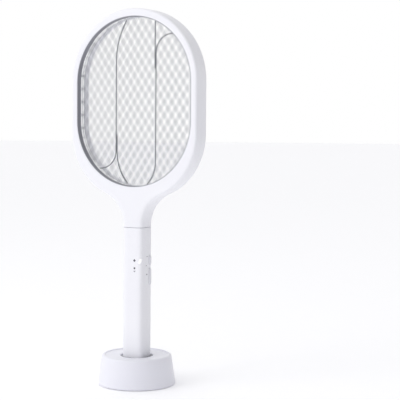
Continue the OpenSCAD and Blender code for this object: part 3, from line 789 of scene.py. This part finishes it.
@dataclass
class Handle:
    """The grip: two moulded shells with windows for the keys and lights."""

    width: float = 29.8
    depth: float = 28.0
    fullness: float = 5.0
    wall: float = 2.0
    low_z: float = 10.3
    high_z: float = 201.75
    bevel: float = 0.2
    slip: float = 0.35
    parting: float = 0.15
    lens_slip: float = 0.05
    lens_t: float = 2.45
    light_x: float = 4.2
    light_heights: tuple[float, float] = (150.5, 146.8)
    light_r: float = 1.3
    seat_r: float = 2.6
    seats: tuple[tuple[float, float], ...] = ((14.3, 1.3), (97.3, 1.3), (196.0, 1.3))

    def section(self, inset: float, parting: float) -> list[Vector]:
        """Half of the grip's section, from its right side round the front to its left.

        Args:
            inset: How far it is drawn in all round.
            parting: Size of the bevel at the parting line.

        Returns:
            Points across and forwards of the parting plane.
        """
        half, front = self.width / 2 - inset, self.depth / 2 - inset
        right = [Vector((half - parting, CLEAR)), Vector((half, CLEAR + parting))]
        for a in sweep(6, 90, 4):
            u = turn(a)
            size = (abs(u.x) / half) ** self.fullness + (u.y / front) ** self.fullness
            right.append(u * size ** (-1 / self.fullness))
        return right + [Vector((-p.x, p.y)) for p in reversed(right[:-1])]

    def shell(self, front: int, name: str, cutters: Sequence[bpy.types.Object]) -> None:
        """Builds one shell of the grip.

        Args:
            front: 1 for the front shell and -1 for the rear one.
            name: The CAD node that it stands for.
            cutters: The shapes cut from it.
        """
        solid = Solid()
        levels = [
            (self.low_z, self.bevel), (self.low_z + self.bevel, 0.0),
            (self.high_z - self.bevel, 0.0), (self.high_z, self.bevel),
        ]
        inner = self.section(self.wall, 0.0)
        rings = []
        for z, inset in levels:
            loop = self.section(inset, self.parting) + inner[::-1]
            rings.append(solid.ring((p.x, -front * p.y, z) for p in loop))
        solid.skin(rings, around=True)
        count = len(inner)
        for ring in (rings[0], rings[-1]):
            for i in range(count - 1):
                solid.face((ring[i], ring[i + 1], ring[-2 - i], ring[-1 - i]))
        shell = solid.piece(name.replace("_shell", "_moulding"))
        cut(shell, cutters)
        place(shell, SWATTER, MOULDED_ABS, "shell_white", name)

    def light(self, index: int, radius: float, low: float, high: float) -> bpy.types.Object:
        """A round plug in front of one light, from one depth to another."""
        z = self.light_heights[index]
        ring = [radius * turn(a) for a in sweep(0, 360, 12)[:-1]]
        return prism(
            f"light_lens_{index}", ring,
            lambda p, h: Vector((self.light_x + p.x, -h, z + p.y)), low, high,
        )

    def seat(self, z: float, deep: float) -> bpy.types.Object:
        """The cutter of one sunk screw seat in the back of the grip."""
        ring = [self.seat_r * turn(a) for a in sweep(0, 360, 10)[:-1]]
        return prism(
            f"grip_seat_{z:.0f}", ring, lambda p, h: Vector((p.x, h, z + p.y)),
            self.depth / 2 - deep, self.depth / 2 + 1,
        )

    def build(self, keys: "Sequence[Key]") -> None:
        """Builds both shells and the lenses of the lights."""
        fronts = [k.window(self.slip) for k in keys if k.in_front]
        backs = [k.window(self.slip) for k in keys if not k.in_front]
        half = self.depth / 2
        holes = [self.light(i, self.light_r, half - 4, half + 1) for i in (0, 1)]
        self.shell(1, "handle_front_shell", [*fronts, *holes])
        self.shell(-1, "handle_rear_shell", [*backs, *(self.seat(z, d) for z, d in self.seats)])
        face = half - self.lens_slip
        upper, lower = (
            self.light(i, self.light_r - self.lens_slip, face - self.lens_t, face) for i in (0, 1)
        )
        place(upper, SWATTER, SMOKED_ACRYLIC, "light_guide", "indicator_lights")
        place(lower, SWATTER, KEY_ABS, "light_guide")


@dataclass
class Key:
    """A sprung key with round ends and a softly rounded rim.

    Attributes:
        node: The CAD node that it stands for.
        body: The body that it rides on.
        width: Width of its cap.
        length: Length of its cap.
        root: Where its flange starts, in the middle.
        out: The direction that it stands out in.
        finish: Its material.
        lean: How far it leans over, in degrees.
        in_front: Whether its window is in the front shell.
        height: From the flange's underside to the cap's top.
    """

    node: str
    body: str
    width: float
    length: float
    root: Vector
    out: Vector
    finish: Finish
    height: float
    lean: float = 0.0
    in_front: bool = False
    flange: float = 0.8
    edge: float = 0.8

    def at(self, spot: Vector, height: float) -> Vector:
        """The place of a point of the key's own plane, at a height above its flange."""
        across = Vector((-self.out.y, self.out.x, 0))
        c, s = turn(self.lean)
        x, z = spot.x * c + spot.y * s, spot.y * c - spot.x * s
        return self.root + x * across + Vector((0, 0, z)) + height * self.out

    def window(self, slip: float) -> bpy.types.Object:
        """The cutter of the key's window in its shell."""
        outline = long_round(self.width, self.length, -slip)
        return prism(f"{self.node}_window", outline, self.at, -0.2, self.height + 3)

    def build(self) -> None:
        """Builds the key."""
        solid = Solid()
        rows = [(-0.4, 0.0), (-0.4, self.flange), (0.0, self.flange)]
        rows += [(inset, self.height - drop) for inset, drop in rounding(self.edge, 5)]
        rows.append((self.edge + 0.15, self.height))
        rings = [
            solid.ring(self.at(p, h) for p in long_round(self.width, self.length, inset))
            for inset, h in rows
        ]
        solid.skin(rings, around=True)
        solid.face(rings[0][::-1])
        solid.face(rings[-1])
        cap = solid.piece(f"{self.node}_cap")
        place(cap, self.body, self.finish, "key_white", self.node)


FLANGE_WIDER = 0.4  # how much wider a side key's flange is than its cap
FLANGE_LONGER = 2.4  # how much longer it is
OVAL_TURN = 31.5  # degrees round the grip's front corner
OVAL_LEAN = 20.0
OVAL_CORNER = Vector((8.4, -7.5, 159.5))
OVAL_ROOT = 3.6  # from the corner's centre to the slanted key's flange


def make_keys() -> list[Key]:
    """The side keys, placed from the frame, and the slanted key at the corner."""
    right = Vector((1, 0, 0))
    keys = []
    for node, body in (("mode_key", "mode_button"), ("zap_key", "zap_button")):
        low, high = (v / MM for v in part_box(node))
        middle = (low + high) / 2
        size = high - low
        root = Vector((low.x, middle.y, middle.z))
        width, length = size.y - FLANGE_WIDER, size.z - FLANGE_LONGER
        keys.append(Key(node, body, width, length, root, right, KEY_ABS, size.x))
    out = Vector((math.sin(math.radians(OVAL_TURN)), -math.cos(math.radians(OVAL_TURN)), 0))
    keys.append(
        Key("oval_key", "oval_button", 3.6, 7.4, OVAL_CORNER + OVAL_ROOT * out, out, OVAL_PAINTED_GLOW,
            3.3, OVAL_LEAN, in_front=True, edge=0.5)
    )
    return keys


class Symbol(Enum):
    """The plain symbols printed on the grip."""

    DIAMOND = "diamond"
    CHEVRON = "chevron"
    DOT = "dot"


@dataclass
class Print:
    """A pad-printed symbol on a flat wall of the grip.

    Attributes:
        name: The piece's name.
        symbol: Its shape.
        centre: Its middle, on the wall's surface.
        out: The direction that the wall faces.
        width: Its width.
        height: Its height.
    """

    name: str
    symbol: Symbol
    centre: Vector
    out: Vector
    width: float
    height: float
    thickness: float = 0.04

    def outline(self) -> list[Vector]:
        """The symbol's outline in the wall's plane."""
        w, h = self.width / 2, self.height / 2
        if self.symbol is Symbol.CHEVRON:
            arm = 0.45
            return [
                Vector(p) for p in (
                    (-w, h), (-w, h - 2 * arm), (0, -h), (w, h - 2 * arm), (w, h), (0, -h + 2 * arm),
                )
            ]
        if self.symbol is Symbol.DIAMOND:
            return [Vector(p) for p in ((0, h), (-w, 0), (0, -h), (w, 0))]
        return [Vector((w * c, h * s)) for c, s in (turn(a) for a in sweep(0, 360, 15)[:-1])]

    def build(self) -> None:
        """Builds the print as a thin film of ink."""
        across = Vector((-self.out.y, self.out.x, 0))
        film = prism(
            self.name, self.outline(),
            lambda p, h: self.centre + p.x * across + Vector((0, 0, p.y)) + h * self.out,
            -0.1, self.thickness,
        )
        place(film, SWATTER, INK, "light_guide")


def make_prints() -> list[Print]:
    """The symbols on the grip's front and right side."""
    front, right = Vector((0, -1, 0)), Vector((1, 0, 0))
    return [
        Print("front_diamond_print", Symbol.DIAMOND, Vector((4.1, -13.97, 160.3)), front, 3.8, 4.0),
        Print("front_chevron_print", Symbol.CHEVRON, Vector((4.2, -13.97, 146.5)), front, 2.4, 2.0),
        Print("side_dash_print_0", Symbol.DOT, Vector((14.87, -0.6, 164.6)), right, 2.2, 0.9),
        Print("side_dash_print_1", Symbol.DOT, Vector((14.87, -2.4, 153.1)), right, 2.2, 0.8),
        Print("side_dot_print", Symbol.DOT, Vector((14.87, -1.0, 141.8)), right, 2.2, 1.7),
    ]


# ---------------------------------------------------------------- base


@dataclass
class Base:
    """The charging base: a turned shell with a raised rim, a dished top and a round well."""

    low_z: float = 1.0
    top_z: float = 38.3
    top_r: float = 45.0
    edge_r: float = 3.5
    wall: float = 2.2
    lip_w: float = 3.6
    lip_fall: float = 1.3
    dish_fall: float = 1.6
    soft: float = 0.8
    well_r: float = 21.0
    well_low: float = 33.5
    foot: tuple[float, float, float] = (37.9, 44.5, 1.8)
    inlet_z: float = 11.2
    inlet_size: tuple[float, float] = (3.6, 9.4)

    def profile(self) -> list[tuple[float, float]]:
        """The shell's section as radius and height."""
        low_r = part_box("base_shell")[1].x / MM
        corner = Vector((self.top_r - self.edge_r, self.top_z - self.edge_r))
        rim = Vector((self.top_r - self.lip_w, self.top_z - self.lip_fall))
        soft = self.soft
        points = [Vector((low_r - self.wall, self.low_z)), Vector((low_r - soft, self.low_z))]
        points += [Vector((low_r - soft, self.low_z + soft)) + soft * turn(a)
                   for a in sweep(-80, 0, 20)]
        points += [corner + self.edge_r * turn(a) for a in sweep(8.6, 90, 8)]
        points += [rim + self.lip_fall * turn(a) for a in sweep(90, 172, 12)]
        dish_r, dish_z = rim.x - self.lip_fall - 0.6, rim.y + 0.05
        low_dish = self.top_z - self.dish_fall
        edge = self.well_r + soft
        for i in range(9):
            t = 1 - i / 8
            points.append(Vector((edge + t * (dish_r - edge), low_dish + t * t * (dish_z - low_dish))))
        points += [Vector((edge, low_dish - soft)) + soft * turn(a) for a in sweep(110, 180, 20)]
        points += [
            Vector((self.well_r, self.well_low)),
            Vector((self.well_r + self.wall, self.well_low)),
            Vector((self.well_r + self.wall, low_dish - self.wall)),
            Vector((corner.x, self.top_z - self.wall - 1.4)),
            Vector((self.top_r - self.wall - 0.4, corner.y)),
        ]
        return [(p.x, p.y) for p in points]

    def build(self) -> None:
        """Builds the shell and the foot under it."""
        shell = lathe(self.profile(), 128).piece("base_moulding")
        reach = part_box("base_shell")[1].y / MM
        width, length = self.inlet_size
        slot_hole = prism(
            "inlet_window", long_round(width, length, 0.0),
            lambda p, h: Vector((p.y, h, self.inlet_z + p.x)), reach - 8, reach + 2,
        )
        cut(shell, [slot_hole])
        place(shell, STAND, BASE_ABS, "shell_white", "base_shell")
        inner, outer, top = self.foot
        edge = 0.35
        section = [
            (inner, top), (inner, edge), (inner + edge, 0.0), (outer - edge, 0.0),
            (outer, edge), (outer, top),
        ]
        foot = lathe(section, 96).piece("foot_moulding")
        place(foot, STAND, RUBBER, "foot_rubber", "foot_ring")


# ---------------------------------------------------------------- carried-over parts


@dataclass(frozen=True)
class Dress:
    """The finish and record slot of a CAD node that is shown as it is."""

    node: str
    finish: Finish
    slot: str

    def apply(self) -> None:
        """Gives the node its material."""
        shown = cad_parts[self.node]
        if not shown.material_slots:
            shown.data.materials.append(self.finish.material())
        for held in shown.material_slots:
            held.material = self.finish.material()
        log.info("%s: kept from the frame, %s", self.node, self.finish.name)


CARRIED_OVER = (
    Dress("bottom_plate", BASE_ABS, "shell_white"),
    Dress("ballast_ring", BALLAST, "ballast_steel"),
    # The socket cup's grey is painted shade in the well
    Dress("socket_cup", CUP_PAINTED_SHADE, "shell_white"),
    Dress("charge_contacts", BRASS, "contact_brass"),
    Dress("charge_board", BOARD, "board_green"),
    Dress("usb_inlet", TINNED_STEEL, "inlet_steel"),
    Dress("base_leads", SLEEVE, "lead_sleeve"),
    Dress("base_screws", PLATED_STEEL, "screw_steel"),
    Dress("handle_end_cap", MOULDED_ABS, "shell_white"),
    Dress("charge_pads", BRASS, "contact_brass"),
    Dress("neck_spigot", MOULDED_ABS, "shell_white"),
    Dress("handle_screws", PLATED_STEEL, "screw_steel"),
    Dress("battery_cell", CELL_WRAP, "cell_wrap"),
    Dress("battery_cradle", BLACK_MOULDING, "cradle_black"),
    Dress("battery_contacts", NICKEL, "tab_nickel"),
    Dress("main_board", BOARD, "board_green"),
    Dress("hv_transformer", TAPE, "winding_tape"),
    Dress("hv_capacitors", RED_RESIN, "capacitor_red"),
    Dress("board_diodes", BLACK_MOULDING, "component_black"),
    Dress("tact_switches", BLACK_MOULDING, "component_black"),
    Dress("switch_riser", BOARD, "board_green"),
    Dress("handle_leads", SLEEVE, "lead_sleeve"),
    # The spacers' glow is painted light on the shaded inner wall
    Dress("front_spacer", NYLON_PAINTED_GLOW, "spacer_natural"),
    Dress("rear_spacer", NYLON_PAINTED_GLOW, "spacer_natural"),
    Dress("grid_terminals", BRASS, "contact_brass"),
    Dress("grid_leads", SLEEVE, "lead_sleeve"),
    Dress("neck_screws", PLATED_STEEL, "screw_steel"),
)


# ---------------------------------------------------------------- studio


@dataclass(frozen=True)
class Light:
    """A soft square light that faces a point."""

    name: str
    place: Point
    aim: Point
    size: float
    power: float
    colour: str

    def build(self) -> None:
        """Adds the light, with its places and size in metres."""
        data = bpy.data.lights.new(self.name, "AREA")
        data.size = self.size
        data.energy = self.power
        data.color = linear(self.colour)[:3]
        lamp = bpy.data.objects.new(self.name, data)
        lamp.location = self.place
        towards = Vector(self.aim) - Vector(self.place)
        lamp.rotation_euler = towards.to_track_quat("-Z", "Y").to_euler()
        bpy.context.scene.collection.objects.link(lamp)


@dataclass
class Studio:
    """A pale floor, soft light and the camera, in metres but for floor_reach in millimetres."""

    eye: Point = (0.7505, -1.2756, 0.3355)
    focal_mm: float = 104.4
    pan: float = 3.09
    tilt: float = -3.81
    roll: float = 0.5
    sky: str = "#ffffff"
    sky_strength: float = 1.0
    shaded_strength: float = 0.4
    floor_reach: float = 30000.0
    floor_cells: int = 24
    lights: tuple[Light, ...] = (
        Light("key_light", (-1.1, -1.5, 1.5), (0, 0, 0.25), 1.3, 8.0, "#ffffff"),
        Light("front_fill", (0.7, -1.9, 0.5), (0, 0, 0.25), 1.2, 1.0, "#f6f6ff"),
    )

    def floor(self) -> None:
        """Builds the sweep that the object stands on."""
        solid = Solid()
        cells = self.floor_cells
        marks = [self.floor_reach * (i / cells - 0.5) * 2 for i in range(cells + 1)]
        rows = [solid.ring((x, y, 0.0) for x in marks) for y in marks]
        solid.skin(rows, around=False)
        sheet = solid.piece("floor_sweep")
        if sheet.data.polygons[0].normal.z < 0:
            sheet.data.flip_normals()
        sheet.data.materials.append(OPAL_SHEET.material())

    def world(self) -> None:
        """Lights the scene from all round, less from the right."""
        world = bpy.data.worlds.new("studio_world")
        world.use_nodes = True
        back = world.node_tree.nodes["Background"]
        back.inputs["Color"].default_value = linear(self.sky)
        tree = world.node_tree
        heading = add_node(tree, "ShaderNodeTexCoord").outputs["Generated"]
        across = add_node(tree, "ShaderNodeSeparateXYZ", links={0: heading}).outputs["X"]
        strength = add_node(
            tree,
            "ShaderNodeMapRange",
            {"From Min": 0.0, "From Max": 0.8, "To Min": self.sky_strength,
             "To Max": self.shaded_strength},
            {"Value": across},
        ).outputs[0]
        tree.links.new(strength, back.inputs["Strength"])
        bpy.context.scene.world = world

    def camera(self) -> None:
        """Sets up the camera."""
        data = bpy.data.cameras.new("camera")
        data.lens = self.focal_mm
        data.sensor_width = 36.0
        data.clip_start = 0.01
        data.clip_end = 20.0
        eye = Vector(self.eye)
        level = Vector((-eye.x, -eye.y, 0)).normalized()
        level.rotate(Matrix.Rotation(math.radians(-self.pan), 3, "Z"))
        aim = level + Vector((0, 0, math.tan(math.radians(self.tilt))))
        stand = bpy.data.objects.new("camera", data)
        turned = aim.to_track_quat("-Z", "Y") @ Matrix.Rotation(
            math.radians(self.roll), 3, "Z"
        ).to_quaternion()
        stand.rotation_euler = turned.to_euler()
        stand.location = eye
        bpy.context.scene.collection.objects.link(stand)
        bpy.context.scene.camera = stand

    def build(self) -> None:
        """Builds the whole set."""
        self.floor()
        self.world()
        for light in self.lights:
            light.build()
        self.camera()
        bpy.context.scene.view_settings.view_transform = "Standard"


def main() -> None:
    """Builds the visual model and its studio."""
    logging.basicConfig(level=logging.INFO, format="%(name)s %(message)s")
    Head().build()
    keys = make_keys()
    Handle().build(keys)
    for key in keys:
        key.build()
    for mark in make_prints():
        mark.build()
    Base().build()
    for dress in CARRIED_OVER:
        dress.apply()
    Studio().build()


if __name__ == "__main__":
    main()
